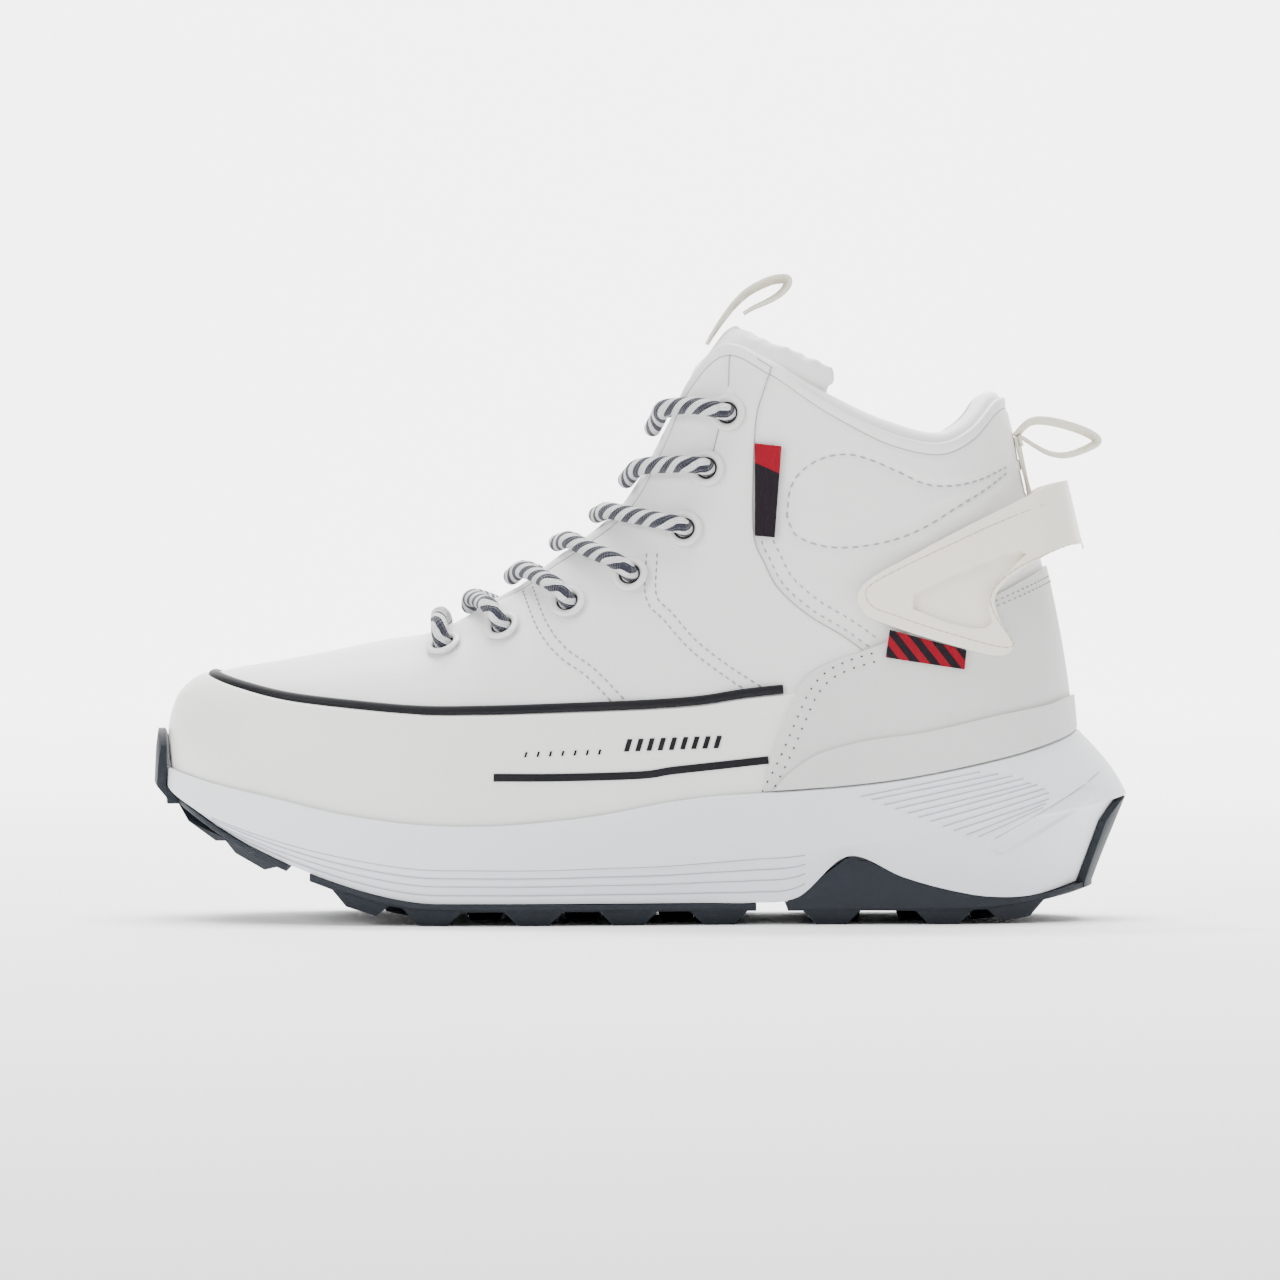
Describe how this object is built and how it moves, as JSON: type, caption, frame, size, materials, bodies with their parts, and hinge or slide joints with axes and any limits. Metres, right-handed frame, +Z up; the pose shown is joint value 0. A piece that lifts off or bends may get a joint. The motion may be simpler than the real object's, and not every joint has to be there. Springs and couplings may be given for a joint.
{
  "type": "winter boot",
  "caption": "Ankle-high lined winter training boot with toe bumper, heel clip, pull loops, laced tongue, tall foam midsole and a lugged rubber outsole.",
  "frame": {"origin": "on the floor under the middle of the boot's length and width", "axes": "+X along the boot to the heel, the toe towards -X; -Y to the outer side; +Z up"},
  "size_m": [0.2969, 0.1064, 0.1957],
  "materials": {
    "white_upper": "smooth white leather",
    "grey_panel": "smooth light grey leather",
    "cream": "satin moulded clip and webbing in one cream colour",
    "white_foam": "matt moulded foam",
    "black_rubber": "matt rubber",
    "black_trim": "plain trim",
    "lace": "round braided lace",
    "eyelet": "satin ring",
    "lining": "brushed lining",
    "red_woven": "woven stripe"
  },
  "bodies": {
    "root": {"clip_tab": "red_woven", "eyelet_inner_1": "eyelet", "eyelet_inner_2": "eyelet", "eyelet_inner_3": "eyelet", "eyelet_inner_4": "eyelet", "eyelet_inner_5": "eyelet", "eyelet_inner_6": "eyelet", "eyelet_inner_7": "eyelet", "eyelet_outer_1": "eyelet", "eyelet_outer_2": "eyelet", "eyelet_outer_3": "eyelet", "eyelet_outer_4": "eyelet", "eyelet_outer_5": "eyelet", "eyelet_outer_6": "eyelet", "eyelet_outer_7": "eyelet", "heel_clip": "cream", "heel_counter": "grey_panel", "heel_loop": "cream", "heel_rand": "grey_panel", "insole": "lining", "lace_bar": "lace", "lace_crossing_1": "lace", "lace_crossing_2": "lace", "lace_crossing_3": "lace", "lace_crossing_4": "lace", "lace_crossing_5": "lace", "lace_crossing_6": "lace", "midsole": "white_foam", "outsole_forefoot": "black_rubber", "outsole_heel": "black_rubber", "outsole_toe": "black_rubber", "side_label": "black_trim", "toe_stripe": "black_trim", "tongue": "white_upper", "tongue_loop": "cream", "upper": "white_upper"}
  },
  "joints": []
}
